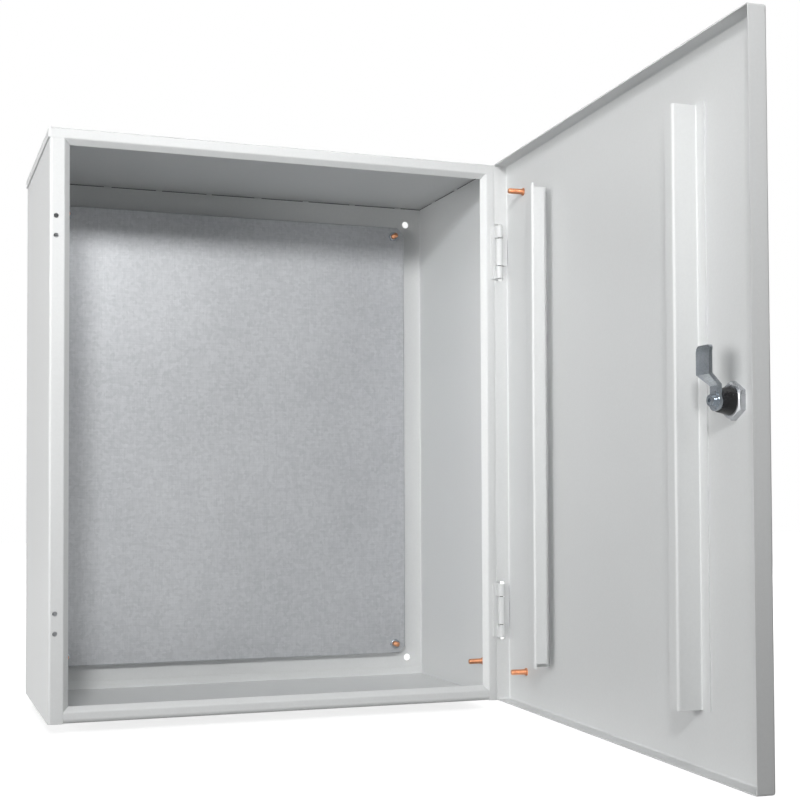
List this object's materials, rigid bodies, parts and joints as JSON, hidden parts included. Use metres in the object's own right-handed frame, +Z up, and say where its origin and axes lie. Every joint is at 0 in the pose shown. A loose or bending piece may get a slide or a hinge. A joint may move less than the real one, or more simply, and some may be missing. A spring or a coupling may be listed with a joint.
{
  "type": "wall-mounted electrical cabinet",
  "caption": "Folded sheet-steel wall enclosure with a hinged door on pin hinges, stiffening ribs, a mounting plate on studs, and a quarter-turn lock with a cranked cam.",
  "frame": {"origin": "centre of the rectangle of the four wall holes, on the outer face of the back", "axes": "+Y into the wall, +Z up, +X to the right as seen from the front; the door is on the -Y side and stands 87 degrees open"},
  "size_m": [0.5075, 0.7333, 0.6],
  "materials": {
    "light_grey_paint": "fine-textured powder coat",
    "galvanised_sheet": "galvanised, dull",
    "zinc_coated_steel": "bright zinc plating",
    "cast_zinc": "cast, satin",
    "copper_plating": "copper-plated, dull",
    "lock_black": "moulded, satin"
  },
  "bodies": {
    "cabinet": {"folded_shell": "light_grey_paint", "roof_panel": "light_grey_paint", "floor_panel": "light_grey_paint", "roof_tack_welds": "light_grey_paint", "mounting_plate": "galvanised_sheet", "plate_studs": "copper_plating", "plate_nuts": "zinc_coated_steel", "body_earth_stud": "copper_plating", "upper_hinge_body_leaf": "light_grey_paint", "lower_hinge_body_leaf": "light_grey_paint", "upper_hinge_pin": "zinc_coated_steel", "lower_hinge_pin": "zinc_coated_steel", "upper_hinge_screws": "zinc_coated_steel", "lower_hinge_screws": "zinc_coated_steel"},
    "door": {"door_panel": "light_grey_paint", "lock_side_rib": "light_grey_paint", "hinge_side_rib": "light_grey_paint", "upper_door_earth_stud": "copper_plating", "lower_door_earth_stud": "copper_plating", "upper_hinge_door_leaf": "light_grey_paint", "lower_hinge_door_leaf": "light_grey_paint", "lock_housing": "lock_black", "lock_nut": "cast_zinc", "lock_sleeve": "lock_black"},
    "lock_rotor": {"lock_core": "cast_zinc", "cam_lever": "zinc_coated_steel", "cam_washer": "zinc_coated_steel", "cam_screw": "zinc_coated_steel"}
  },
  "joints": [
    {"name": "door_hinge", "type": "hinge", "parent": "cabinet", "child": "door", "pos_m": [0.246, -0.2385, 0], "axis": [0, 0, 1], "range_deg": [-87, 33]},
    {"name": "lock_turn", "type": "hinge", "parent": "door", "child": "lock_rotor", "pos_m": [0.2225, -0.68688, 0], "axis": [0.9986, -0.0523, 0], "range_deg": [0, 90]}
  ]
}
